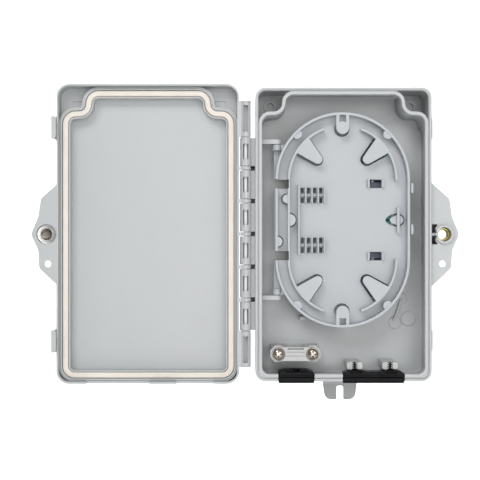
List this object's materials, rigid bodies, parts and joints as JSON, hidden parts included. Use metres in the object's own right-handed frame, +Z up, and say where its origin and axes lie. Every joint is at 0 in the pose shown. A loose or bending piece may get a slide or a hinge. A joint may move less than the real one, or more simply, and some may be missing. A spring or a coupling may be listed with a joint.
{
  "type": "fiber termination box",
  "caption": "Wall-mounted fibre termination box, opened flat: hinged cover with foam seal, swing-out splice tray over a row of adapters, rubber cable entries and clamps.",
  "frame": {"origin": "centre of the base's flat back face, which lies against the wall", "axes": "+X to the right and +Z up as installed, +Y from the front into the wall; the open cover lies on the -X side"},
  "size_m": [0.2936, 0.0415, 0.2206],
  "materials": {
    "shell_plastic": "light grey moulded ABS, fine satin texture",
    "tray_plastic": "light grey moulded ABS, semi-gloss",
    "clamp_plastic": "natural grey-white polyamide",
    "pin_plastic": "smooth white acetal rod",
    "gasket_foam": "cream silicone foam with a skin",
    "rubber": "matte black EPDM",
    "steel": "nickel-plated steel",
    "brass": "turned brass",
    "adapter_teal": "moulded teal adapter housing",
    "cap_plastic": "soft translucent white cap"
  },
  "bodies": {
    "base": {"base_shell": "shell_plastic", "hinge_pin": "pin_plastic", "lock_insert": "brass", "adapter_panel": "tray_plastic", "panel_screw_top": "steel", "panel_screw_bottom": "steel", "clamp_insert_left": "brass", "clamp_insert_right": "brass", "feeder_gland": "rubber", "drop_gland": "rubber", "drop_clamp_left": "clamp_plastic", "drop_clamp_right": "clamp_plastic", "sc_adapter_1": "adapter_teal", "sc_adapter_2": "adapter_teal", "sc_adapter_3": "adapter_teal", "sc_adapter_4": "adapter_teal", "sc_adapter_5": "adapter_teal", "sc_adapter_6": "adapter_teal", "sc_adapter_7": "adapter_teal", "sc_adapter_8": "adapter_teal", "dust_cap_left_1": "cap_plastic", "dust_cap_left_2": "cap_plastic", "dust_cap_left_3": "cap_plastic", "dust_cap_left_4": "cap_plastic", "dust_cap_left_5": "cap_plastic", "dust_cap_left_6": "cap_plastic", "dust_cap_left_7": "cap_plastic", "dust_cap_left_8": "cap_plastic", "dust_cap_right_1": "cap_plastic", "dust_cap_right_2": "cap_plastic", "dust_cap_right_3": "cap_plastic", "dust_cap_right_4": "cap_plastic", "dust_cap_right_5": "cap_plastic", "dust_cap_right_6": "cap_plastic", "dust_cap_right_7": "cap_plastic", "dust_cap_right_8": "cap_plastic", "drop_pad_left": "rubber", "drop_pad_right": "rubber"},
    "cover": {"cover_shell": "shell_plastic", "cover_gasket": "gasket_foam"},
    "tray": {"splice_tray": "tray_plastic"},
    "retainer": {"bolt_retainer": "steel"},
    "bolt": {"lock_bolt": "steel"},
    "cable_clamp": {"clamp_saddle": "clamp_plastic", "clamp_washer_left": "steel", "clamp_washer_right": "steel", "clamp_screw_left": "steel", "clamp_screw_right": "steel"}
  },
  "joints": [
    {"name": "cover_hinge", "type": "hinge", "parent": "base", "child": "cover", "pos_m": [-0.0671, -0.034, 0], "axis": [0, 0, 1], "range_deg": [0, 180]},
    {"name": "tray_hinge", "type": "hinge", "parent": "base", "child": "tray", "pos_m": [-0.0455, -0.0225, 0.01], "axis": [0, 0, 1], "range_deg": [-100, 0]},
    {"name": "bolt_travel", "type": "slide", "parent": "cover", "child": "retainer", "axis": [0, -1, 0], "range_m": [0, 0.006]},
    {"name": "bolt_turn", "type": "hinge", "parent": "retainer", "child": "bolt", "pos_m": [-0.2038, -0.03, 0], "axis": [0, -1, 0], "continuous": true},
    {"name": "clamp_lift", "type": "slide", "parent": "base", "child": "cable_clamp", "axis": [0, -1, 0], "range_m": [0, 0.004]}
  ]
}
